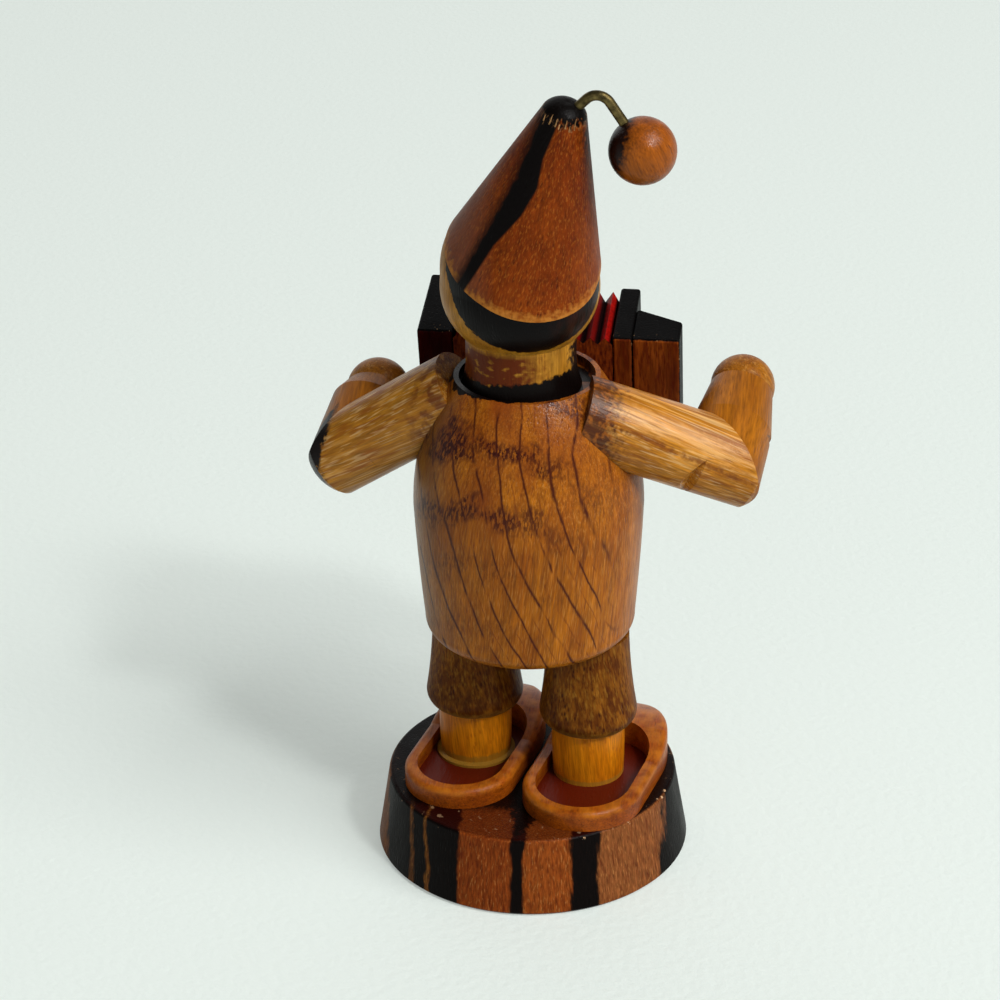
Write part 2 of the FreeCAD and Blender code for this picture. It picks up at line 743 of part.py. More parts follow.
def make_accordion():
    """Bass case, bellows, treble case and tapering keyboard, side by side behind one back plane."""
    right = "-accordion_right_reach"
    treble = f"({right} + keyboard_width)"
    folds = f"({treble} + treble_case_width)"
    bass = f"({folds} + bellows_width)"
    case("keyboard", right, "keyboard_width", "keyboard_inner_depth", "keyboard_outer_depth")
    case("treble_case", treble, "treble_case_width", "treble_case_depth")
    make_bellows(folds)
    case("bass_case", bass, "bass_case_width", "bass_case_depth")
    make_keys()
    node("accordion_peg", accordion_peg("accordion_peg_rod", "accordion_peg_radius"))


def leaning(side, back):
    """A unit direction that leans from the vertical to the figure's right and backwards."""
    return point(f"-tan({side})", f"tan({back})", "1").normalize()


def skull_outline(level, skin):
    """Outline of the head from chin to crown, its middle at a level, made thicker by a skin."""
    return [
        ("neck_radius", f"{level} - chin_drop"),
        (f"head_radius + {skin}", f"{level} - jaw_drop * 0.2",
         f"jaw_radius + {skin}", f"{level} - jaw_drop"),
        (f"head_radius + {skin}", level),
        ("0", f"{level} + head_radius + {skin}",
         f"(head_radius + {skin}) * sqrt(0.5)", f"{level} + (head_radius + {skin}) * sqrt(0.5)"),
    ]


def make_head():
    """Neck and face as one turned piece, cut slanting for the hat, with flue, mouth, nose and eyes."""
    centre = point("neck_side", "0", HEAD_LEVEL)
    blank = revolve("head_blank", [
        ("0", "-neck_spigot_length"),
        ("neck_spigot_radius", "-neck_spigot_length"),
        ("neck_spigot_radius", "0"),
        ("neck_foot_radius", "0"),
        ("neck_radius", "neck_foot_height",
         "neck_radius + (neck_foot_radius - neck_radius) * 0.3", "neck_foot_height * 0.5"),
        *skull_outline("neck_socket_depth + head_rise", "0"),
    ])
    place(blank, "neck_side", "0", NECK_FLOOR)
    flue_length = "neck_spigot_length + neck_socket_depth + head_rise - mouth_drop + mouth_radius"
    flue = cylinder("flue", "flue_radius", flue_length)
    place(flue, "neck_side", "0", f"{NECK_FLOOR} - neck_spigot_length")
    mouth = cylinder("mouth_hole", "mouth_radius", "2 * head_radius")
    aim(mouth, centre - Vector(0, 0, value("mouth_drop")), Vector(0, -1, 0))
    lean = leaning("hat_seat_lean_side_angle", "hat_seat_lean_back_angle")
    seat = half_space("hat_seat", centre + lean * value("hat_seat_rise"), lean)
    node("head", cut(blank, flue, mouth, seat))

    # Nose and eyes are seated on the turned head, so each is cut by it.
    nose = sphere("nose_ball", "nose_radius")
    out = point("0", "-sqrt(head_radius ^ 2 - nose_drop ^ 2)", "-nose_drop").normalize()
    aim(nose, centre + out * value("head_radius + nose_reach"), out)
    node("nose", cut(nose, blank))
    for name, side in SIDES.items():
        eye = sphere(f"{name}_eye_ball", "eye_radius")
        depth = "-sqrt(head_radius ^ 2 - eye_side ^ 2 - eye_rise ^ 2)"
        out = point(f"{side} * eye_side", depth, "eye_rise").normalize()
        aim(eye, centre + out * value("head_radius"), out)
        node(f"{name}_eye", cut(eye, blank))
    return centre


def make_hat(centre):
    """Leaning drop-shaped hat, the wire let into its tip and the bead on the wire."""
    slant = "asin((hat_radius - hat_tip_radius) / hat_length)"
    drop = revolve("hat_drop", [
        ("0", "-hat_radius"),
        (f"hat_radius * cos({slant})", f"hat_radius * sin({slant})",
         "hat_radius * sqrt(0.5)", "-hat_radius * sqrt(0.5)"),
        ("hat_tip_radius", "hat_length - hat_tip_round"),
        ("0", "hat_length", "hat_tip_radius * 0.72", "hat_length - hat_tip_round * 0.34"),
    ])
    lean = leaning("hat_lean_side_angle", "hat_lean_back_angle")
    aim(drop, centre, lean)
    cap = revolve("hat_cap", [("0", "-chin_drop"), *skull_outline("0", "hat_lip")])
    cap.Placement.Base = centre
    seat_lean = leaning("hat_seat_lean_side_angle", "hat_seat_lean_back_angle")
    seat = half_space("hat_underside", centre + seat_lean * value("hat_seat_rise"), -seat_lean)

    tip = centre + lean * value("hat_length")
    root = tip - lean * value("wire_grip")
    crest = tip + point("-crest_side", "0", "crest_rise")
    bead = tip + point("-bobble_side", "0", "-bobble_drop")
    rise = (crest - root).normalize()
    fall = (bead - crest).normalize()
    half_turn = rise.getAngle(fall) / 2
    bend_start = crest - rise * value("wire_bend") * math.tan(half_turn)
    bend_end = crest + fall * value("wire_bend") * math.tan(half_turn)
    inward = (fall - rise).normalize()
    bend_middle = crest + inward * value("wire_bend") * (1 / math.cos(half_turn) - 1)
    path = Part.Wire([
        Part.LineSegment(root, bend_start).toShape(),
        Part.Arc(bend_start, bend_middle, bend_end).toShape(),
        Part.LineSegment(bend_end, bead).toShape(),
    ])
    section = Part.Wire([Part.makeCircle(value("wire_radius"), root, rise)])
    wire = doc.addObject("Part::Feature", "tassel_wire_rod")
    wire.Shape = path.makePipeShell([section], True, True)
    node("tassel_wire", wire)

    hole = cylinder("wire_hole", "wire_radius + glue_gap", "overrun")
    node("hat", cut(fuse(drop, cap), seat, aim(hole, root, rise)))
    ball = aim(sphere("bobble_ball", "bobble_radius"), bead, fall)
    bead_hole = cylinder("bobble_hole", "wire_radius + glue_gap", "2 * bobble_radius")
    node("bobble", cut(ball, aim(bead_hole, bead, -fall)))


def check_and_write():
    """Stop at any failed object, then write one file for each sub-part."""
    doc.recompute()
    failed = [item.Name for item in doc.Objects if {"Invalid", "Error"} & set(item.State)]
    if failed:
        raise ValueError(f"failed objects: {failed}")
    os.makedirs("parts", exist_ok=True)
    for item in nodes:
        shape = item.Shape
        if shape.isNull() or not shape.isValid() or len(shape.Solids) != 1:
            raise ValueError(f"{item.Label}: {len(shape.Solids)} solids, valid {shape.isValid()}")
        shape.exportStep(f"parts/{item.Label}.step")
        print(f"{item.Label}: volume {shape.Volume:.1f}, faces {len(shape.Faces)}")


neck_room = place(cylinder("neck_room", "neck_socket_radius", "overrun"), height=NECK_FLOOR)
make_base()
for leg_name, leg_side in SIDES.items():
    make_shoe(leg_name, leg_side)
    make_leg(leg_name, leg_side)
make_seat()
make_coat(neck_room)
for arm_name in SIDES:
    make_arm(arm_name, neck_room)
make_accordion()
make_hat(make_head())
check_and_write()
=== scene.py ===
"""Looks of a turned wooden incense smoker that plays the accordion."""
import math

import bpy
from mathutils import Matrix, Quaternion, Vector


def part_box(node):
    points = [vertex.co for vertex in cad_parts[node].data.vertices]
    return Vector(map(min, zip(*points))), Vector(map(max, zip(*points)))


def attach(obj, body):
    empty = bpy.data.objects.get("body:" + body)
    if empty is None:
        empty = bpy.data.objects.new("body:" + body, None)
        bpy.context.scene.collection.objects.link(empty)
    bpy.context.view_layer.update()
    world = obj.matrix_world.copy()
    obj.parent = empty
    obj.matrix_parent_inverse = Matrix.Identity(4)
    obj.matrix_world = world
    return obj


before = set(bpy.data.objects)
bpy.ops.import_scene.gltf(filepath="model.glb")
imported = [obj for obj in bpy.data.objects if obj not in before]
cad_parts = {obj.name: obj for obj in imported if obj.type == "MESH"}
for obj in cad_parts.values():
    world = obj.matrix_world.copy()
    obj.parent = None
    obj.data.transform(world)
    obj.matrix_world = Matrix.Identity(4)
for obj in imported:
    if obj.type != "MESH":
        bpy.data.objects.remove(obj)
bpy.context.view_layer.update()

MM = 0.001

# Places that the patterns follow, in millimetres as in the part.
BASE_RADIUS = 25.0
BASE_TOP = 12.65
SHOE_FLOOR = 13.55
SOCKET_FLOOR = 80.0
SOCKET_RADIUS = 10.4
NECK_SIDE = 0.9
NECK_FOOT = 83.6
NECK_TOP = 88.0
HEAD_MIDDLE = Vector((0.9, 0.0, 99.15))
HAT_SEAT = Vector((-0.244, 0.454, 0.857))
HAT_SEAT_RISE = 2.9
HAT_AXIS = Vector((-0.269, 0.217, 0.938))
HAT_LENGTH = 30.3
HAT_LOW = 96.0
HAT_HIGH = 126.0
HAT_TIP = Vector((-7.2, 6.8, 127.5))
HAT_TIP_RADIUS = 3.25
HAT_TIP_ROUND = 1.5
HAT_TAPER = 0.33
BELLOWS_FOLDS = 11
ACCORDION_EDGE = Vector((0.0, -13.7, 82.0))
ACCORDION_BACK = Vector((0.0, 0.978, -0.208))
LEFT_ELBOW = Vector((27.6, -3.0, 66.7))
LEFT_MITRE = Vector((0.531, -0.834, -0.153))
# Where the painted highlight runs along the right sleeve's top, and the way down across it.
SLEEVE_SHEEN_LINE = Vector((-14.0, 7.0, 80.0))
SLEEVE_SHEEN_DOWN = Vector((0.293, 0.574, -0.765))

# Brown layers of the base's wood, which is black between them, seen from behind: their left and
# right edges in millimetres from the middle, and their tones.
BROWN_LAYERS = [
    (-25.0, -22.4, "#80481c"), (-17.3, -17.3, "#7a4a20"), (-14.4, -14.4, "#8a5520"),
    (-8.8, -0.6, "#8c4013"), (1.8, 8.6, "#974a18"), (13.1, 21.6, "#8f532a"),
]
BLACK_LAYER = "#0a0403"
LAYER_EDGE = 0.45

# The hat's black streak: its left edge lies at lean times height plus start. Its widths are shares
# of the widest, from the hat's foot to its tip. It broadens again from just under the tip.
STREAK_LEAN = -0.539
STREAK_START = 63.08
STREAK_WIDEST = 5.0
STREAK_WIDTHS = [(0.0, 0.34), (0.36, 0.5), (0.52, 0.8), (0.66, 0.82), (0.8, 0.52), (0.95, 0.4)]
STREAK_BROADENS = 117.0

# Oak's rays on the coat, coarse and fine: spacing, width and length in millimetres, and the noise
# level from which they show.
COAT_RAYS = [(1.9, 0.16, 45, 0.38), (0.95, 0.09, 20, 0.45)]
RAYS_TOP = 76.0

# Bands of pores on the coat, where the turned surface cuts the growth rings: the middle of their
# arches, how much they drop per square millimetre beside it, and half their spacing.
BANDS_MIDDLE = 4.0
BANDS_ARCH = 0.035
BANDS_HALF = 4.9

# Splinters round the hat's tip: turn in degrees, height on the hat, length and outward lift. Then
# their radius at both ends, and how deep they sit in the hat.
SPLINTERS = [
    (36, 27.9, 1.9, 0.22), (24, 27.7, 0.9, 0.1), (13, 28.1, 1.4, 0.34), (-2, 27.8, 0.8, 0.05),
    (-11, 28.0, 1.3, 0.3), (-27, 27.9, 1.6, 0.14), (-46, 27.8, 1.0, 0.25),
]
SPLINTER_ROOT = 0.13
SPLINTER_END = 0.02
SPLINTER_SUNK = 0.06

# Soft boxes round the smoker: name, place and size in metres, and power in watts.
LAMPS = [
    ("window", (-1.1, 0.5, 1.45), 1.15, 28.0),
    ("pane", (-0.95, 0.88, 1.34), 0.2, 10.5),
    ("fill", (0.25, 0.8, 0.5), 0.6, 0.5),
    ("front", (0.4, -1.5, 0.9), 2.0, 9.0),
]
LAMPS_AIM = Vector((0, 0, 0.06))
FLOOR_GLOW = 0.37

# The photograph's view, in degrees and millimetres.
CAMERA_AZIMUTH = 188.596
CAMERA_ELEVATION = 26.879
CAMERA_ROLL = -1.0
CAMERA_PLACE = Vector((-59.53, 423.56, 277.12))
CAMERA_SENSOR = 36
CAMERA_LENS = 111.6


def colour(code):
    """Turn an sRGB hex value into the linear colour that the shaders take."""
    channels = [int(code[i:i + 2], 16) / 255 for i in (1, 3, 5)]
    linear = [c / 12.92 if c <= 0.04045 else ((c + 0.055) / 1.055) ** 2.4 for c in channels]
    return (*linear, 1.0)


def add(tree, kind, inputs=None, stops=None, **settings):
    """Add a node: its own settings, its sockets' values or links, and a ramp's stops."""
    made = tree.nodes.new(kind)
    for name, setting in settings.items():
        setattr(made, name, setting)
    for socket, given in (inputs or {}).items():
        if isinstance(given, bpy.types.NodeSocket):
            tree.links.new(given, made.inputs[socket])
        elif isinstance(given, str):
            made.inputs[socket].default_value = colour(given)
        else:
            made.inputs[socket].default_value = given
    if stops:
        ramp = made.color_ramp
        while len(ramp.elements) < len(stops):
            ramp.elements.new(0.5)
        for element, (place, shade) in zip(ramp.elements, stops):
            element.position = place
            element.color = colour(shade) if isinstance(shade, str) else (shade, shade, shade, 1)
    return made


def begin(name):
    """A new material's node tree, and the object's coordinates in millimetres."""
    made = bpy.data.materials.new(name)
    made.use_nodes = True
    tree = made.node_tree
    tree.nodes.clear()
    here = add(tree, "ShaderNodeTexCoord").outputs["Object"]
    here = add(tree, "ShaderNodeVectorMath", {0: here, "Scale": 1 / MM}, operation="SCALE").outputs[0]
    return made, tree, here


def patches(tree, axes, width, length, low, high, detail=3.0):
    """Share of soft patches, a width across and a length along the grain, in millimetres."""
    cells = add(tree, "ShaderNodeMapping", {
        "Vector": axes, "Scale": (1 / width, 1 / width, 1 / length)}).outputs[0]
    noise = add(tree, "ShaderNodeTexNoise", {"Vector": cells, "Scale": 1.0, "Detail": detail})
    return add(tree, "ShaderNodeMapRange", {
        "Value": noise.outputs["Fac"], "From Min": low, "From Max": high}).outputs[0]


def dashes(tree, axes, width, length):
    """Share of short dashes along the grain, such as open pores, each in a cell of its own."""
    across = 3.2 * width
    down = 1.7 * length
    cells = add(tree, "ShaderNodeMapping", {
        "Vector": axes, "Scale": (1 / across, 1 / across, 1 / down)}).outputs[0]
    spots = add(tree, "ShaderNodeTexVoronoi", {"Vector": cells, "Scale": 1.0})
    return add(tree, "ShaderNodeMapRange", {
        "Value": spots.outputs["Distance"], "From Min": 0.36, "From Max": 0.14}).outputs[0]


def beyond(tree, here, middle, normal, soft=0.15, ragged=0.0):
    """Share that is 1 beyond a plane, with a soft and a ragged edge in millimetres."""
    away = add(tree, "ShaderNodeVectorMath", {0: here, 1: tuple(-Vector(middle))},
               operation="ADD").outputs[0]
    height = add(tree, "ShaderNodeVectorMath", {0: away, 1: tuple(normal)},
                 operation="DOT_PRODUCT").outputs["Value"]
    if ragged:
        rough = patches(tree, here, 0.8, 0.8, 0.3, 0.7, 4.0)
        rough = add(tree, "ShaderNodeMath", {0: rough, 1: ragged, 2: -ragged / 2},
                    operation="MULTIPLY_ADD").outputs[0]
        height = add(tree, "ShaderNodeMath", {0: height, 1: rough}, operation="ADD").outputs[0]
    return add(tree, "ShaderNodeMapRange", {
        "Value": height, "From Min": -soft, "From Max": soft}).outputs[0]


def lay(tree, shade, *layers):
    """Lay colours over a colour. Each layer is its colour and its shares, which are multiplied."""
    for over, share, *others in layers:
        for other in others:
            share = add(tree, "ShaderNodeMath", {0: share, 1: other}, operation="MULTIPLY").outputs[0]
        shade = add(tree, "ShaderNodeMix", {"Factor": share, 6: shade, 7: over},
                    data_type="RGBA").outputs[2]
    return shade


def late_wood(tree, axes, spacing, drift):
    """Two shares of dark late wood: growth rings round the pith, bent slowly, and each ring's own luck."""
    slow = add(tree, "ShaderNodeMapping", {"Vector": axes, "Scale": (1 / 9, 1 / 9, 1 / 30)}).outputs[0]
    slow = add(tree, "ShaderNodeTexNoise", {"Vector": slow, "Scale": 1.0, "Detail": 2.0}).outputs["Color"]
    bent = add(tree, "ShaderNodeVectorMath", {0: slow, 1: (2 * drift,) * 3, 2: axes},
               operation="MULTIPLY_ADD").outputs[0]
    flat = add(tree, "ShaderNodeVectorMath", {0: bent, 1: (1, 1, 0)}, operation="MULTIPLY").outputs[0]
    away = add(tree, "ShaderNodeVectorMath", {0: flat}, operation="LENGTH").outputs["Value"]
    ring = add(tree, "ShaderNodeMath", {0: away, 1: spacing}, operation="DIVIDE").outputs[0]
    phase = add(tree, "ShaderNodeMath", {0: ring}, operation="FRACT").outputs[0]
    number = add(tree, "ShaderNodeMath", {0: ring}, operation="FLOOR").outputs[0]
    luck = add(tree, "ShaderNodeTexWhiteNoise", {"W": number}, noise_dimensions="1D").outputs["Value"]
    profile = add(tree, "ShaderNodeValToRGB", {"Fac": phase},
                  stops=[(0.0, 0.05), (0.6, 0.2), (0.88, 1.0), (0.96, 0.8), (1.0, 0.05)]).outputs[0]
    return profile, luck


def wood(name, along, pith, rings, tones, pores, light=None, marks=None, gloss=0.3, coat=0.18):
    """Turned wood under clear varnish.

    Fibres and pores run along the grain, so they show as lines on the sides and as dots on the
    ends. Real fibres are too fine to show, so they are drawn 0.28 mm wide.
    rings: spacing and drift in mm, and the share of late wood. tones: early wood, late wood and
    darker clouds. pores: colour, width and length in mm, and share. light: the same for pale
    fibres. marks: what this piece alone has. gloss: the roughness. coat: the varnish's strength.
    """
    made, tree, here = begin(name)
    turn = Vector(along).to_track_quat("Z", "Y").to_euler()
    axes = add(tree, "ShaderNodeMapping", {"Vector": here, "Location": pith, "Rotation": turn},
               vector_type="TEXTURE").outputs[0]
    spacing, drift, late_share = rings
    early, late, cloud = tones
    clouds = patches(tree, axes, 4, 12, 0.4, 0.68)
    shade = lay(tree, early, (cloud, clouds), (late, *late_wood(tree, axes, spacing, drift), late_share))

    fibres = patches(tree, axes, 0.28, 4.0, 0.3, 0.7)
    streaks = patches(tree, axes, 1.1, 16.0, 0.3, 0.7)
    dimmed = add(tree, "ShaderNodeMath", {0: fibres, 1: 1.5, 2: streaks},
                 operation="MULTIPLY_ADD").outputs[0]
    dimmed = add(tree, "ShaderNodeMapRange", {
        "Value": dimmed, "From Max": 2.5, "To Min": 0.42, "To Max": 1.16}).outputs[0]
    shade = add(tree, "ShaderNodeVectorMath", {0: shade, "Scale": dimmed}, operation="SCALE").outputs[0]

    pore_colour, width, length, pore_share = pores
    crowded = patches(tree, axes, 2.4, 6, 0.42, 0.6)
    pore = add(tree, "ShaderNodeMath", {0: dashes(tree, axes, width, length), 1: crowded},
               operation="MULTIPLY").outputs[0]
    shade = lay(tree, shade, (pore_colour, pore, pore_share))
    if light:
        pale, width, length, pale_share = light
        shifted = add(tree, "ShaderNodeVectorMath", {0: axes, 1: (7, 3, 5)}, operation="ADD").outputs[0]
        shade = lay(tree, shade, (pale, patches(tree, shifted, width, length, 0.54, 0.68, 2.0), pale_share))
    if marks:
        shade = marks(tree, here, axes, shade)

    height = add(tree, "ShaderNodeMath", {0: fibres, 1: 0.4}, operation="MULTIPLY").outputs[0]
    height = add(tree, "ShaderNodeMath", {0: pore, 1: -pore_share, 2: height},
                 operation="MULTIPLY_ADD").outputs[0]
    relief = add(tree, "ShaderNodeBump", {
        "Strength": 0.5, "Distance": 0.12 * MM, "Height": height}).outputs[0]
    worn = add(tree, "ShaderNodeMapRange", {
        "Value": clouds, "To Min": gloss, "To Max": gloss + 0.12}).outputs[0]
    surface = add(tree, "ShaderNodeBsdfPrincipled", {
        "Base Color": shade, "Roughness": worn, "Normal": relief, "Specular IOR Level": 0.55 * coat,
        "Coat Weight": 0.4 * coat, "Coat Roughness": 0.14, "Coat Normal": relief,
    }).outputs[0]
    add(tree, "ShaderNodeOutputMaterial", {"Surface": surface})
    return made


def metal(name, bright, dull, roughness):
    """Bare metal that has dulled: stains lower its gloss."""
    made, tree, here = begin(name)
    stain = patches(tree, here, 1.2, 1.2, 0.3, 0.7, 5.0)
    gloss = add(tree, "ShaderNodeMapRange", {
        "Value": stain, "To Min": roughness - 0.1, "To Max": roughness + 0.2}).outputs[0]
    surface = add(tree, "ShaderNodeBsdfPrincipled", {
        "Base Color": lay(tree, bright, (dull, stain)), "Roughness": gloss, "Metallic": 1.0}).outputs[0]
    add(tree, "ShaderNodeOutputMaterial", {"Surface": surface})
    return made


def cover(finish, *names):
    """Give CAD nodes a finish."""
    for name in names:
        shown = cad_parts[name]
        shown.data.materials.clear()
        shown.data.materials.append(finish)


def base_layers(tree, here, axes, shade):
    """Brown and black layers of the base's wood, which stand upright and run from front to back."""
    wander = patches(tree, axes, 3, 9, 0.2, 0.8)
    wander = add(tree, "ShaderNodeMath", {0: wander, 1: 1.6, 2: -0.8}, operation="MULTIPLY_ADD").outputs[0]
    fray = patches(tree, axes, 0.35, 3, 0.2, 0.8)
    fray = add(tree, "ShaderNodeMath", {0: fray, 1: 0.45, 2: wander}, operation="MULTIPLY_ADD").outputs[0]
    side = add(tree, "ShaderNodeSeparateXYZ", {0: here}).outputs["X"]
    side = add(tree, "ShaderNodeMath", {0: side, 1: fray}, operation="ADD").outputs[0]
    place = add(tree, "ShaderNodeMapRange", {
        "Value": side, "From Min": BASE_RADIUS, "From Max": -BASE_RADIUS}).outputs[0]
    stops = []
    for left, right, tone in BROWN_LAYERS:
        for edge, shown in ((left - LAYER_EDGE, BLACK_LAYER), (left, tone),
                            (right, tone), (right + LAYER_EDGE, BLACK_LAYER)):
            stops.append((max(0.0, 0.5 + edge / BASE_RADIUS / 2), shown))
    layers = add(tree, "ShaderNodeValToRGB", {"Fac": place}, stops=stops[1:]).outputs[0]
    fine = patches(tree, axes, 0.28, 3.0, 0.3, 0.7)
    fine = add(tree, "ShaderNodeMapRange", {"Value": fine, "To Min": 0.45, "To Max": 1.1}).outputs[0]
    layers = add(tree, "ShaderNodeVectorMath", {0: layers, "Scale": fine}, operation="SCALE").outputs[0]
    brown = add(tree, "ShaderNodeRGBToBW", {"Color": layers}).outputs[0]
    brown = add(tree, "ShaderNodeMapRange", {"Value": brown, "From Min": 0.01, "From Max": 0.05}).outputs[0]
    top = beyond(tree, here, (0, 0, BASE_TOP - 0.15), (0, 0, 1), 0.1)
    return lay(
        tree, layers,
        ("#4a0a02", patches(tree, axes, 0.5, 3.5, 0.5, 0.7), brown, 0.5),
        ("#c98a4a", patches(tree, axes, 0.22, 3.0, 0.58, 0.72), brown, 0.45),
        ("#2c0602", top, 0.6),
        # Painted shade: the top is darkened to near black under the clogs, and in a strip that runs out
        # between them.
        ("#080201", top, beyond(tree, here, (0, 14.5, 0), (0, -1, 0), 1.0, 1.5), 0.94),
        ("#080201", top, beyond(tree, here, (1.8, 12, 0), (-1, -0.2, 0), 0.4, 1.5),
         beyond(tree, here, (-5.0, 12, 0), (1, -0.45, 0), 0.4, 1.5), 0.94),
        # The rim has small chips that bare pale wood.
        ("#c9a27a", beyond(tree, here, (0, 0, BASE_TOP - 0.65), (0, 0, 1), 0.2),
         beyond(tree, here, (0, 0, BASE_TOP - 0.05), (0, 0, -1), 0.1),
         patches(tree, here, 1.3, 1.3, 0.66, 0.7)))


def hat_marks(tree, here, axes, shade):
    """A black streak that winds up to the black tip, a golden edge at the rim that is lighter turned wood
    with a painted highlight along it, and a painted reflection that lightens the hat's left side.
    """
    split = add(tree, "ShaderNodeSeparateXYZ", {0: here}).outputs
    edge = add(tree, "ShaderNodeMath", {0: split["Z"], 1: STREAK_LEAN, 2: STREAK_START},
               operation="MULTIPLY_ADD").outputs[0]
    across = add(tree, "ShaderNodeMath", {0: edge, 1: split["X"]}, operation="SUBTRACT").outputs[0]
    rise = add(tree, "ShaderNodeMapRange", {
        "Value": split["Z"], "From Min": HAT_LOW, "From Max": HAT_HIGH}).outputs[0]
    width = add(tree, "ShaderNodeValToRGB", {"Fac": rise}, stops=STREAK_WIDTHS).outputs[0]
    width = add(tree, "ShaderNodeMath", {0: width, 1: STREAK_WIDEST}, operation="MULTIPLY").outputs[0]
    frayed = patches(tree, axes, 0.6, 4, 0.2, 0.8)
    frayed = add(tree, "ShaderNodeMath", {0: frayed, 1: 0.6, 2: -0.3}, operation="MULTIPLY_ADD").outputs[0]
    near_tip = add(tree, "ShaderNodeMapRange", {
        "Value": split["Z"], "From Min": STREAK_BROADENS, "From Max": HAT_HIGH, "To Max": 1.5}).outputs[0]
    from_left = add(tree, "ShaderNodeMath", {0: across, 1: frayed}, operation="ADD").outputs[0]
    from_left = add(tree, "ShaderNodeMath", {0: from_left, 1: near_tip}, operation="ADD").outputs[0]
    from_left = add(tree, "ShaderNodeMapRange", {
        "Value": from_left, "From Min": -1.2, "From Max": 0.5}).outputs[0]
    from_right = add(tree, "ShaderNodeMath", {0: width, 1: across}, operation="SUBTRACT").outputs[0]
    from_right = add(tree, "ShaderNodeMapRange", {
        "Value": from_right, "From Min": -0.1, "From Max": 0.3}).outputs[0]

    away = add(tree, "ShaderNodeVectorMath", {0: here, 1: tuple(HAT_TIP)},
               operation="DISTANCE").outputs["Value"]
    torn = patches(tree, axes, 0.5, 3, 0.2, 0.8)
    away = add(tree, "ShaderNodeMath", {0: torn, 1: 2.6, 2: away}, operation="MULTIPLY_ADD").outputs[0]
    tip = add(tree, "ShaderNodeMapRange", {"Value": away, "From Min": 5.1, "From Max": 4.6}).outputs[0]
    fringe = add(tree, "ShaderNodeMapRange", {"Value": away, "From Min": 5.4, "From Max": 5.0}).outputs[0]
    rim = HEAD_MIDDLE + HAT_SEAT * (HAT_SEAT_RISE + 0.7)
    return lay(
        tree, shade,
        # Painted reflection: the hat's left side is lightened to a pale grey-brown.
        ("#7d5240", beyond(tree, here, (5.5, 0, 0), (1, 0, 0), 2.5), 0.5),
        # Painted highlight on lighter turned wood: a golden line along the hat's rim.
        ("#c17c30", beyond(tree, here, rim, -HAT_SEAT, 0.7, 1.6), 0.8),
        ("#060202", from_left, from_right, beyond(tree, here, (0, 3, 0), (0, 1, 0), 2.0)),
        ("#120504", beyond(tree, here, (-9.6, 0, 0), (-1, 0, 0), 0.5, 0.8),
         beyond(tree, here, (0, 0, STREAK_BROADENS), (0, 0, 1), 3), 0.9),
        ("#a87c50", fringe, patches(tree, axes, 0.35, 1.5, 0.45, 0.6), 0.5),
        ("#060302", tip))


def head_marks(tree, here, axes, shade):
    """Black painted hair at the back of the ball, dark flecks on the neck, painted shade down the neck's
    right side where it stands off its socket, and dark glue round its foot.
    """
    black = lay(tree, "#050202", ("#3a1508", beyond(tree, here, (-6.5, 0, 0), (-1, 0, 0), 2.0),
                                  patches(tree, here, 1.2, 2.5, 0.4, 0.65), 0.5))
    return lay(
        tree, shade,
        ("#581a06", beyond(tree, here, (0, 0, NECK_TOP), (0, 0, -1), 0.4),
         beyond(tree, here, (-2.5, 0, 0), (1, 0, 0), 2.5, 3.0),
         patches(tree, here, 1.8, 1.0, 0.3, 0.44), 0.93),
        (black, beyond(tree, here, HEAD_MIDDLE + Vector((0, 3.5, 0)), (-0.29, 0.81, 0.51), 0.12, 0.5),
         beyond(tree, here, (0, 0, NECK_TOP + 0.9), (0, 0, 1), 0.12, 0.5)),
        # Painted shade: the neck's right side is darkened where it stands off its socket.
        ("#140603", beyond(tree, here, (-6.9, 0, 0), (-1, 0, 0), 0.3, 1.0),
         beyond(tree, here, (0, 0, NECK_TOP), (0, 0, -1), 0.4, 1.0)),
        ("#080302", beyond(tree, here, (0, 0, NECK_FOOT), (-0.1, 0, -1), 0.2, 0.7)))


def coat_rays(tree, here):
    """Shares of oak's dark rays, which sway down the coat to one side: the coarse and the fine ones."""
    split = add(tree, "ShaderNodeSeparateXYZ", {0: here}).outputs
    drop = add(tree, "ShaderNodeMath", {0: RAYS_TOP, 1: split["Z"]}, operation="SUBTRACT").outputs[0]
    sway = add(tree, "ShaderNodeMath", {0: drop, 1: 0.0045, 2: 0.14}, operation="MULTIPLY_ADD").outputs[0]
    sway = add(tree, "ShaderNodeMath", {0: sway, 1: drop, 2: split["X"]},
               operation="MULTIPLY_ADD").outputs[0]
    slow = patches(tree, here, 7, 22, 0.2, 0.8, 1.0)
    sway = add(tree, "ShaderNodeMath", {0: slow, 1: 2.4, 2: sway}, operation="MULTIPLY_ADD").outputs[0]
    jag = patches(tree, here, 0.8, 1.6, 0.2, 0.8)
    line = add(tree, "ShaderNodeMath", {0: jag, 1: 0.2, 2: sway}, operation="MULTIPLY_ADD").outputs[0]
    inner = beyond(tree, here, (-13.8, 0, 0), (1, 0, 0), 1.5)
    shares = []
    for spacing, width, length, low in COAT_RAYS:
        near = add(tree, "ShaderNodeMath", {0: line, 1: spacing}, operation="PINGPONG").outputs[0]
        near = add(tree, "ShaderNodeMapRange", {
            "Value": near, "From Min": width * 1.9, "From Max": width * 0.3}).outputs[0]
        shown = patches(tree, here, spacing, length, low, low + 0.12)
        shares.append((near, shown, inner))
    return shares


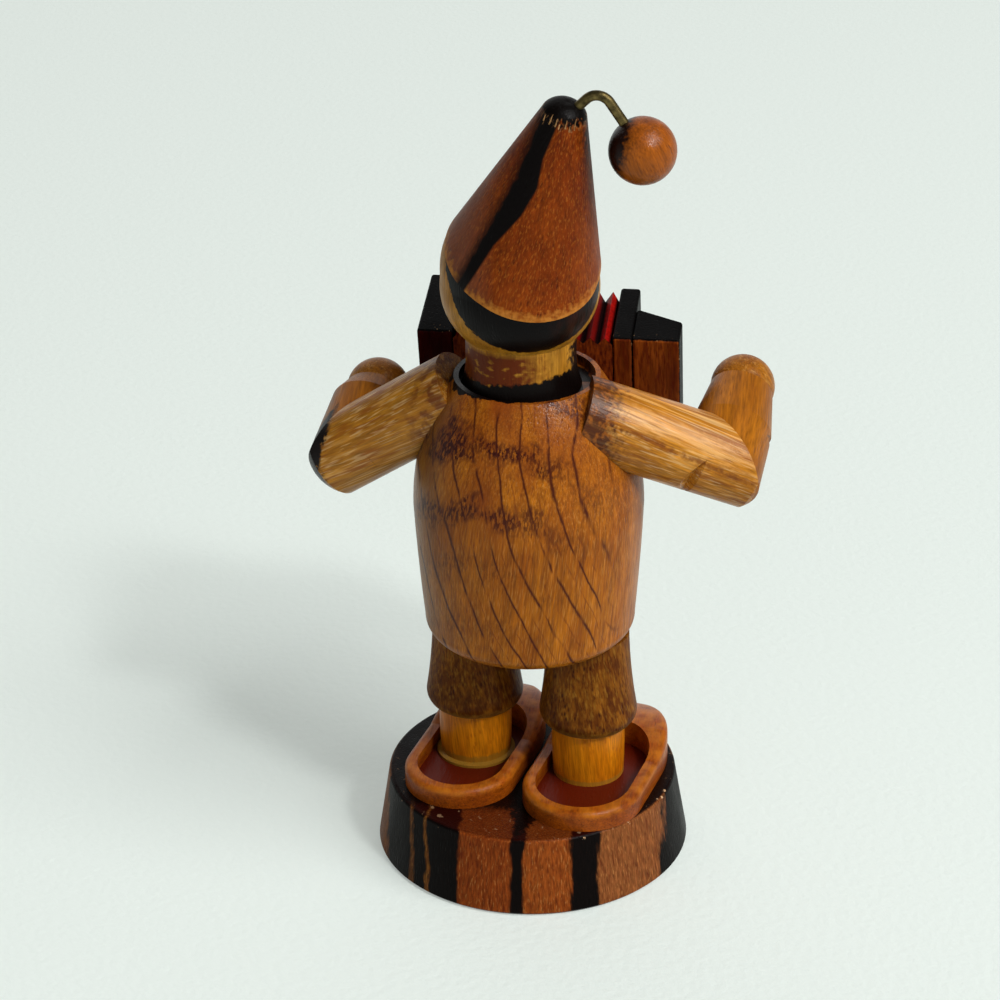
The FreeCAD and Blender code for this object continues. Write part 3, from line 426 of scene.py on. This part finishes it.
def coat_marks(tree, here, axes, shade):
    """Oak's dark rays, arched bands of open pores, painted shade that dulls the coat's left side towards
    olive, and black in the socket of the neck, partly glue and soot and partly painted shade in the gap
    round the neck.
    """
    split = add(tree, "ShaderNodeSeparateXYZ", {0: here}).outputs
    arch = add(tree, "ShaderNodeMath", {0: split["X"], 1: -BANDS_MIDDLE}, operation="ADD").outputs[0]
    arch = add(tree, "ShaderNodeMath", {0: arch, 1: arch}, operation="MULTIPLY").outputs[0]
    arch = add(tree, "ShaderNodeMath", {0: arch, 1: BANDS_ARCH, 2: split["Z"]},
               operation="MULTIPLY_ADD").outputs[0]
    wave = patches(tree, here, 4, 4, 0.2, 0.8, 2.0)
    arch = add(tree, "ShaderNodeMath", {0: wave, 1: 4.5, 2: arch}, operation="MULTIPLY_ADD").outputs[0]
    band = add(tree, "ShaderNodeMath", {0: arch, 1: BANDS_HALF}, operation="PINGPONG").outputs[0]
    band = add(tree, "ShaderNodeMapRange", {"Value": band, "From Min": 2.6, "From Max": 0.9}).outputs[0]
    left = beyond(tree, here, (1.0, 0, 0), (1, 0, 0.12), 7.0)
    left = add(tree, "ShaderNodeMath", {0: left, 1: 0.75, 2: 0.25}, operation="MULTIPLY_ADD").outputs[0]
    upper = beyond(tree, here, (0, 0, 62), (0.1, 0, 1), 7.0)
    mostly_upper = add(tree, "ShaderNodeMath", {0: upper, 1: 0.75, 2: 0.25},
                       operation="MULTIPLY_ADD").outputs[0]
    crowd = (band, left, patches(tree, here, 5, 6, 0.3, 0.5), mostly_upper)

    level = add(tree, "ShaderNodeVectorMath", {0: here, 1: (1, 1, 0)}, operation="MULTIPLY").outputs[0]
    away = add(tree, "ShaderNodeVectorMath", {0: level, 1: (NECK_SIDE, 0, 0)},
               operation="DISTANCE").outputs["Value"]
    ragged = patches(tree, here, 2.2, 2.2, 0.3, 0.7)
    away = add(tree, "ShaderNodeMath", {0: ragged, 1: -0.9, 2: away}, operation="MULTIPLY_ADD").outputs[0]
    ring = add(tree, "ShaderNodeMapRange", {
        "Value": away, "From Min": SOCKET_RADIUS, "From Max": SOCKET_RADIUS - 0.1}).outputs[0]
    coarse_rays, fine_rays = coat_rays(tree, here)
    return lay(
        tree, shade,
        ("#7a3208", patches(tree, here, 6, 9, 0.35, 0.65), left, upper, 0.75),
        # Painted shade: the coat's left side is dulled towards olive.
        ("#7d5a1e", beyond(tree, here, (9.0, 0, 0), (1, -0.3, 0), 3.0), 0.5),
        ("#6e3206", patches(tree, axes, 0.45, 7, 0.5, 0.66), 0.5),
        ("#4a1204", patches(tree, axes, 1.0, 2.4, 0.4, 0.56), *crowd, upper, 0.65),
        ("#340803", patches(tree, axes, 0.4, 1.2, 0.46, 0.54), *crowd),
        ("#6a2c08", *fine_rays, 0.55),
        ("#3a0c02", *coarse_rays, 0.9),
        # Black in the socket round the neck: partly glue and soot, partly painted shade in the gap.
        ("#070303", ring, beyond(tree, here, (0, 0, SOCKET_FLOOR), (0, 0, 1), 0.1)))


def sleeve_streaks(tree, axes, shade):
    """Long pale and dark streaks of a sleeve's oak."""
    return lay(
        tree, shade,
        ("#dba75c", patches(tree, axes, 1.1, 18, 0.55, 0.72), 0.55),
        ("#8a4a0c", patches(tree, axes, 0.7, 14, 0.5, 0.62), 0.75),
        ("#f0cc90", patches(tree, axes, 0.35, 14.0, 0.54, 0.7, 1.0), 0.35))


def right_sleeve_marks(tree, here, axes, shade):
    """A painted highlight, pale along the top, a dark crack under it, and dark end grain at the shoulder.
    """
    flecked = lay(tree, "#3c1002", ("#96500f", patches(tree, here, 0.8, 1.0, 0.5, 0.64), 0.75))
    return lay(
        tree, sleeve_streaks(tree, axes, shade),
        # Painted highlight: a pale band along the sleeve's top.
        ("#eab068", beyond(tree, here, SLEEVE_SHEEN_LINE + SLEEVE_SHEEN_DOWN * 1.5, -SLEEVE_SHEEN_DOWN, 0.8, 1.0),
         beyond(tree, here, SLEEVE_SHEEN_LINE - SLEEVE_SHEEN_DOWN * 1.3, SLEEVE_SHEEN_DOWN, 0.8, 1.0),
         patches(tree, axes, 0.6, 9, 0.35, 0.6), 0.6),
        ("#6a3208", beyond(tree, here, SLEEVE_SHEEN_LINE + SLEEVE_SHEEN_DOWN * 2.7, -SLEEVE_SHEEN_DOWN, 0.3, 0.7),
         beyond(tree, here, SLEEVE_SHEEN_LINE + SLEEVE_SHEEN_DOWN * 2.2, SLEEVE_SHEEN_DOWN, 0.3, 0.7), 0.7),
        (flecked, beyond(tree, here, (-14.0, 0, 80), (1, 0.1, 0.12), 1.6, 3.2), 0.9))


def left_sleeve_marks(tree, here, axes, shade):
    """Dark spots at the shoulder, and black at the point of the elbow: painted shade round the mitre joint,
    partly dark glue.
    """
    return lay(
        tree, sleeve_streaks(tree, axes, shade),
        ("#5a2406", beyond(tree, here, (17.5, 0, 0), (-1, 0, 0), 2.0),
         patches(tree, here, 1.5, 1.5, 0.45, 0.6), 0.7),
        # Painted shade, partly dark glue: black at the point of the elbow.
        ("#0c0402", beyond(tree, here, LEFT_ELBOW - LEFT_MITRE * 1.9, LEFT_MITRE, 0.3, 0.9),
         beyond(tree, here, (31.0, 0, 0), (1, 0, 0), 0.5, 0.8)))


def left_cuff_marks(tree, here, axes, shade):
    """The same black, on the forearm's side of the elbow: painted shade round the mitre joint, partly dark
    glue.
    """
    return lay(
        tree, shade,
        # Painted shade, partly dark glue: black at the point of the elbow.
        ("#0c0402", beyond(tree, here, LEFT_ELBOW + LEFT_MITRE * 1.8, -LEFT_MITRE, 0.3, 0.9),
         beyond(tree, here, (30.4, 0, 0), (1, 0, 0), 0.6, 0.8)))


def bead_marks(tree, here, axes, shade):
    """The hat's bead darkened to near black on its left side."""
    return lay(tree, shade, ("#180502", beyond(tree, here, (-16.1, 0, 122.5), (1, 0, 0.2), 0.6, 1.2)))


def clog_marks(tree, here, axes, shade):
    """The clog's rubbed rim, and the floor of its hollow painted darker red as painted shade in the recess.
    """
    facing = add(tree, "ShaderNodeTexCoord").outputs["Normal"]
    up = add(tree, "ShaderNodeSeparateXYZ", {0: facing}).outputs["Z"]
    up = add(tree, "ShaderNodeMapRange", {"Value": up, "From Min": 0.7, "From Max": 0.95}).outputs[0]
    return lay(
        tree, shade,
        ("#c0721a", beyond(tree, here, (0, 0, SHOE_FLOOR + 1.4), (0, 0, 1), 0.4),
         patches(tree, here, 2, 2, 0.35, 0.7), 0.6),
        # Painted shade: the floor of the hollow is darkened to deep red.
        ("#541404", up, beyond(tree, here, (0, 0, SHOE_FLOOR + 0.5), (0, 0, -1), 0.3)))


def sock_marks(tree, here, axes, shade):
    """A ring of dried glue round the sock's foot, broader on the left one."""
    return lay(
        tree, shade,
        ("#8a6420", beyond(tree, here, (0, 0, SHOE_FLOOR + 1.7), (0, 0, -1), 0.2, 0.5),
         beyond(tree, here, (0, 0, 0), (1, 0, 0), 0.1), 0.7),
        ("#8c6a26", beyond(tree, here, (0, 0, SHOE_FLOOR + 0.75), (0, 0, -1), 0.12, 0.3), 0.6))


def trouser_marks(tree, here, axes, shade):
    """Short dark and pale flecks all over, crowded at the hem, and a rubbed hem."""
    return lay(
        tree, shade,
        ("#461604", patches(tree, axes, 2.2, 3.5, 0.42, 0.62), 0.5),
        ("#3c1404", patches(tree, axes, 0.45, 1.8, 0.46, 0.62), 0.6),
        ("#b07c2c", patches(tree, axes, 0.35, 2.0, 0.52, 0.68), 0.35),
        ("#3a1003", beyond(tree, here, (0, 0, 28.0), (0, 0, -1), 2.5),
         patches(tree, axes, 2.0, 3.0, 0.42, 0.6), 0.6),
        ("#84602a", beyond(tree, here, (0, 0, 24.0), (0, 0, -1), 0.5, 0.8), 0.5))


def painted_case(name, back, grain):
    """A case painted black, whose back is left as wood in a given tone, darkened on the bass case as
    painted shade: the brush stopped at the edge.
    """
    def marks(tree, here, axes, shade):
        wooden = lay(tree, shade, (grain, patches(tree, axes, 0.5, 3.0, 0.5, 0.62), 0.75))
        return lay(
            tree, "#060505",
            ("#b08a62", patches(tree, here, 0.5, 0.8, 0.66, 0.7),
             beyond(tree, here, ACCORDION_EDGE - ACCORDION_BACK * 1.4, ACCORDION_BACK, 0.8), 0.8),
            (wooden,
             beyond(tree, here, ACCORDION_EDGE - ACCORDION_BACK * 0.12, ACCORDION_BACK, 0.06, 0.12)))
    return wood(name, along=(0, 0.208, 0.978), pith=(40, -30, 0), rings=(2.4, 1.0, 0.5),
                tones=(back, grain, grain), pores=(grain, 0.14, 1.2, 0.8),
                marks=marks, gloss=0.42, coat=0.05)


def bellows_marks(tree, here, axes, shade):
    """Red lacquer on the ridges of the folds, all but the ridge beside the treble case darkened as painted
    shade, black in their valleys, and bare stained wood at the back.
    """
    low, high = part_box("bellows")
    start = low[0] / MM
    pitch = (high[0] / MM - start) / BELLOWS_FOLDS
    side = add(tree, "ShaderNodeSeparateXYZ", {0: here}).outputs["X"]
    ridge = add(tree, "ShaderNodeMath", {0: side, 1: -start - pitch / 2}, operation="ADD").outputs[0]
    ridge = add(tree, "ShaderNodeMath", {0: ridge, 1: pitch / 2}, operation="PINGPONG").outputs[0]
    valley = add(tree, "ShaderNodeMapRange", {
        "Value": ridge, "From Min": pitch * 0.2, "From Max": pitch * 0.36}).outputs[0]
    facing = add(tree, "ShaderNodeTexCoord").outputs["Normal"]
    back = add(tree, "ShaderNodeVectorMath", {0: facing, 1: tuple(ACCORDION_BACK)},
               operation="DOT_PRODUCT").outputs["Value"]
    back = add(tree, "ShaderNodeMapRange", {"Value": back, "From Min": 0.45, "From Max": 0.6}).outputs[0]
    stained = lay(tree, "#8a3e12", ("#50180a", patches(tree, here, 0.4, 3.0, 0.35, 0.65)))
    return lay(
        tree, shade,
        # Painted shade: every ridge but the one beside the treble case is darkened.
        ("#4a0503", beyond(tree, here, (start + 1.15 * pitch, 0, 0), (1, 0, 0), 0.1), 0.75),
        ("#100202", valley),
        (stained, back))


# Striped rosewood, sawn and turned under thin varnish: red-brown between near-black layers, with
# short pale fibres and a dull shine.
cover(wood("striped_rosewood", along=(0, 0, 1), pith=(30, -160, 0), rings=(2.2, 1.2, 0.5),
           tones=("#96501c", "#4a2008", "#7a3410"), pores=("#2a0a04", 0.12, 1.6, 0.8),
           marks=base_layers, gloss=0.4, coat=0.07), "base")
cover(wood("hat_rosewood", along=(-0.27, 0.22, 1), pith=(60, -40, 0), rings=(2.6, 1.5, 0.3),
           tones=("#8c3d08", "#642605", "#762d05"), pores=("#3a1002", 0.2, 2.2, 0.7),
           light=("#bb6c24", 0.24, 4.6, 0.34), marks=hat_marks, gloss=0.42, coat=0.1), "hat")

# Oak, turned and varnished: open pores in bands, dark rays along the grain, and a soft gloss.
cover(wood("coat_oak", along=(-0.12, 0.03, 1), pith=(60, 50, 0), rings=(3.4, 2.6, 0.3),
           tones=("#b86a0e", "#8a4405", "#a05509"), pores=("#5a1c03", 0.14, 1.3, 0.5),
           light=("#e0a050", 0.14, 2.6, 0.3), marks=coat_marks, gloss=0.32, coat=0.2), "torso")
# Oak dowels for the arms: the grain runs along them, so it shows as long streaks.
# Painted light: the right sleeve's tones are lighter, as it is lit, and the left's darker, as it is in
# shade.
for side, slope, tones, sleeve_marks, cuff_marks in (
    ("right", (-0.9, -0.1, -0.42), ("#d68c24", "#a8640f", "#bd7414"), right_sleeve_marks, None),
    ("left", (0.9, -0.06, -0.5), ("#c48322", "#8f5408", "#a86a12"), left_sleeve_marks, left_cuff_marks),
):
    cover(wood(f"{side}_sleeve_oak", along=slope, pith=(0, 30, 90), rings=(2.4, 1.0, 0.5),
               tones=tones, pores=("#6b3208", 0.12, 2.2, 0.5),
               marks=sleeve_marks, gloss=0.3, coat=0.3), f"{side}_upper_arm")
    cover(wood(f"{side}_cuff_oak", along=(0, -1, 0.35), pith=(20, 0, 90), rings=(2.4, 1.0, 0.5),
               tones=("#b36a12", "#864606", "#98560b"), pores=("#6b3208", 0.12, 2.2, 0.5),
               marks=cuff_marks, gloss=0.34, coat=0.2), f"{side}_forearm")

# Walnut, turned and hardly varnished: dull brown, crowded with short dark pores.
cover(wood("trouser_walnut", along=(0.1, 0.1, 1), pith=(20, 60, 0), rings=(2.8, 1.5, 0.35),
           tones=("#925614", "#623208", "#7e480e"), pores=("#2c0a03", 0.18, 1.0, 0.9),
           marks=trouser_marks, gloss=0.42, coat=0.08), "right_trouser", "left_trouser")
# Maple, turned and varnished golden: close-grained and evenly coloured.
cover(wood("sock_maple", along=(0.1, 0, 1), pith=(40, 30, 0), rings=(3.0, 1.0, 0.3),
           tones=("#e08610", "#b45f06", "#c66e08"), pores=("#8a3c08", 0.2, 0.9, 0.45),
           marks=sock_marks), "right_sock", "left_sock")
# Beech, carved and stained red: smooth, with fine dark flecks and a satin rim.
cover(wood("clog_beech", along=(0, 1, 0.05), pith=(40, 0, -30), rings=(2.6, 1.4, 0.3),
           tones=("#a24e0c", "#783204", "#8a3e07"), pores=("#4a1203", 0.14, 1.4, 0.6),
           marks=clog_marks, gloss=0.36, coat=0.2), "right_shoe", "left_shoe")
# Pear, turned into balls: fine-grained and warm, with pale flecks.
cover(wood("hand_pear", along=(0.4, 0.2, 1), pith=(30, 20, 0), rings=(2.0, 0.8, 0.4),
           tones=("#ac6a1a", "#84480a", "#965610"), pores=("#5e2808", 0.12, 1.2, 0.5),
           light=("#d09448", 0.5, 2.0, 0.4), gloss=0.34), "right_hand", "left_hand", "nose")
# A bought bead of rosewood, tumbled in varnish: glossier than the turned pieces.
cover(wood("bead_rosewood", along=(0.4, 0.2, 1), pith=(30, 20, 0), rings=(2.0, 0.8, 0.3),
           tones=("#a4560f", "#7c3a07", "#8a440b"), pores=("#4e1c06", 0.1, 0.9, 0.4),
           marks=bead_marks, gloss=0.3, coat=0.25), "bobble")
# Lime, turned and left pale under varnish: the colour of skin, with little figure.
cover(wood("face_lime", along=(0.05, 0, 1), pith=(50, 30, 0), rings=(2.8, 1.0, 0.3),
           tones=("#c68a2c", "#945810", "#aa701c"), pores=("#7a3810", 0.14, 1.2, 0.5),
           marks=head_marks, gloss=0.36, coat=0.12), "head")
# Beech dowel and disc, bare: pale, dull and flecked, since varnish would foul with smoke.
cover(wood("dowel_beech", along=(0, 0, 1), pith=(30, 0, 0), rings=(2.5, 0.6, 0.2),
           tones=("#c9a070", "#b38a5a", "#c09768"), pores=("#94693f", 0.1, 1.5, 0.5),
           gloss=0.5, coat=0.0), "right_leg_dowel", "left_leg_dowel", "seat_disc", "accordion_peg")

# Walnut, sawn, its front and sides brushed with matt black paint and its back left as wood.
cover(painted_case("keyboard_walnut", "#9a4c16", "#5a1e08"), "keyboard", "treble_case")
# The same, its back painted dark red as painted shade: the same wood, shaded by the head and coat.
cover(painted_case("bass_case_shaded", "#4a0c06", "#2c0504"), "bass_case")
# Grooved wood brushed with lacquer: bright red ridges, dark where the brush didn't reach.
cover(wood("bellows_lacquer", along=(1, 0, 0), pith=(0, 0, 0), rings=(2.0, 0.5, 0.1),
           tones=("#a80f08", "#7a0806", "#8c0a06"), pores=("#5a0403", 0.2, 0.8, 0.3),
           marks=bellows_marks, gloss=0.36, coat=0.1), "bellows")
# Black lacquer, dabbed on: smooth drops with a clear gloss.
cover(wood("black_lacquer", along=(0, 0, 1), pith=(0, 0, 0), rings=(2.0, 0.5, 0.1),
           tones=("#080606", "#100a08", "#0c0808"), pores=("#1c100a", 0.2, 1.0, 0.3),
           gloss=0.3, coat=0.2), "right_eye", "left_eye", *[f"black_key_{n}" for n in range(1, 9)])
# Ivory-white lacquer on wood: the grain shows faintly through it.
cover(wood("ivory_lacquer", along=(0, 0.2, 1), pith=(0, 0, 0), rings=(2.0, 0.5, 0.2),
           tones=("#e4dfcf", "#cfc6ac", "#d8d0ba"), pores=("#b8aa88", 0.12, 1.6, 0.4),
           gloss=0.3, coat=0.2), "white_keys")
# Tinned sheet steel, stamped: bright grey, dulled in spots by heat.
cover(metal("pan_tinplate", "#c9c8c2", "#8d8b84", 0.35), "cone_pan")
# Brass wire, drawn and bent, never lacquered: olive, with dark tarnish in patches.
cover(metal("tassel_brass", "#7c6c42", "#2e2818", 0.4), "tassel_wire")


def make_tip_fibres():
    """Splinters that stand up round the hat's tip, where the black wood has torn off."""
    bpy.ops.object.select_all(action="DESELECT")
    bpy.ops.mesh.primitive_cone_add(vertices=5)
    splinters = bpy.context.object
    splinters.name = "tip_fibres"
    bpy.ops.object.mode_set(mode="EDIT")
    bpy.ops.mesh.select_all(action="SELECT")
    bpy.ops.mesh.delete(type="VERT")
    sideways = Vector((0, 1, 0)).cross(HAT_AXIS).normalized()
    backward = HAT_AXIS.cross(sideways)
    for number, (turn, height, length, lift) in enumerate(SPLINTERS):
        outward = Quaternion(HAT_AXIS, math.radians(turn)) @ backward
        radius = HAT_TIP_RADIUS + HAT_TAPER * (HAT_LENGTH - HAT_TIP_ROUND - height)
        root = HEAD_MIDDLE + HAT_AXIS * height + outward * (radius - SPLINTER_SUNK)
        along = (HAT_AXIS + outward * (lift - HAT_TAPER)).normalized()
        bpy.ops.mesh.primitive_cone_add(
            vertices=5, radius1=SPLINTER_ROOT * MM, radius2=SPLINTER_END * MM, depth=length * MM,
            location=(root + along * length / 2) * MM, rotation=along.to_track_quat("Z", "Y").to_euler())
        bpy.ops.mesh.subdivide(number_cuts=2)
        bpy.ops.transform.vertex_random(offset=0.05 * MM, uniform=0.6, normal=0.0, seed=number)
    bpy.ops.mesh.select_all(action="SELECT")
    bpy.ops.mesh.normals_make_consistent(inside=False)
    bpy.ops.object.mode_set(mode="OBJECT")
    # Torn rosewood, never varnished: pale, dry fibres that don't shine.
    splinters.data.materials.append(
        wood("torn_fibre", along=HAT_AXIS, pith=(60, -40, 0), rings=(1.2, 0.6, 0.3),
             tones=("#c99a68", "#9a6434", "#b07c4a"), pores=("#6a3a18", 0.08, 0.6, 0.5),
             gloss=0.6, coat=0.0))
    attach(splinters, "head")


def make_floor():
    """A plain pale sheet under the smoker, which keeps its shadow and shows pale to the camera."""
    bpy.ops.object.select_all(action="DESELECT")
    bpy.ops.mesh.primitive_plane_add(size=6)
    floor = bpy.context.object
    floor.name = "floor"
    # Embossed card: matt, with a soft leathery grit of under 2 mm.
    sheet, tree, here = begin("pale_sheet")
    grit = patches(tree, here, 1.6, 1.6, 0.0, 1.0, 4.0)
    relief = add(tree, "ShaderNodeBump", {
        "Strength": 0.35, "Distance": 0.6 * MM, "Height": grit}).outputs[0]
    rays = add(tree, "ShaderNodeLightPath").outputs
    seen = add(tree, "ShaderNodeMath", {0: rays["Is Camera Ray"], 1: rays["Is Glossy Ray"]},
               operation="MAXIMUM").outputs[0]
    seen = add(tree, "ShaderNodeMath", {0: seen, 1: rays["Is Transmission Ray"]},
               operation="MAXIMUM").outputs[0]
    glow = add(tree, "ShaderNodeMath", {0: seen, 1: FLOOR_GLOW}, operation="MULTIPLY").outputs[0]
    surface = add(tree, "ShaderNodeBsdfPrincipled", {
        "Base Color": "#b6bdb8", "Roughness": 0.8, "Normal": relief,
        "Emission Color": "#eef6f0", "Emission Strength": glow}).outputs[0]
    add(tree, "ShaderNodeOutputMaterial", {"Surface": surface})
    floor.data.materials.append(sheet)


def make_light():
    """Soft light from the side of the keyboard, pale walls and a dimmer ceiling."""
    world = bpy.data.worlds.new("studio")
    bpy.context.scene.world = world
    world.use_nodes = True
    tree = world.node_tree
    tree.nodes.clear()
    height = add(tree, "ShaderNodeTexCoord").outputs["Generated"]
    height = add(tree, "ShaderNodeSeparateXYZ", {0: height}).outputs["Z"]
    strength = add(tree, "ShaderNodeMapRange", {
        "Value": height, "From Min": 0.14, "From Max": 0.4, "To Min": 0.5, "To Max": 0.12}).outputs[0]
    glow = add(tree, "ShaderNodeBackground", {"Color": "#f2f7f4", "Strength": strength}).outputs[0]
    add(tree, "ShaderNodeOutputWorld", {"Surface": glow})
    for name, place, size, power in LAMPS:
        bpy.ops.object.light_add(type="AREA", location=place)
        lamp = bpy.context.object
        lamp.name = name
        lamp.data.size = size
        lamp.data.energy = power
        lamp.rotation_mode = "QUATERNION"
        lamp.rotation_quaternion = (Vector(place) - LAMPS_AIM).to_track_quat("Z", "Y")


def make_camera():
    """The photograph's view: from behind, a little above, with a slight roll."""
    azimuth = math.radians(CAMERA_AZIMUTH)
    elevation = math.radians(CAMERA_ELEVATION)
    back = Vector((math.sin(azimuth) * math.cos(elevation), -math.cos(azimuth) * math.cos(elevation),
                   math.sin(elevation)))
    roll = Quaternion((0, 0, 1), math.radians(CAMERA_ROLL))
    bpy.ops.object.camera_add(location=CAMERA_PLACE * MM)
    camera = bpy.context.object
    camera.name = "camera"
    camera.rotation_mode = "QUATERNION"
    camera.rotation_quaternion = (-back).to_track_quat("-Z", "Y") @ roll
    camera.data.sensor_width = CAMERA_SENSOR
    camera.data.lens = CAMERA_LENS
    camera.data.clip_start = 0.01
    camera.data.clip_end = 20
    bpy.context.scene.camera = camera


make_tip_fibres()
make_floor()
make_light()
make_camera()
bpy.context.scene.view_settings.view_transform = "Standard"
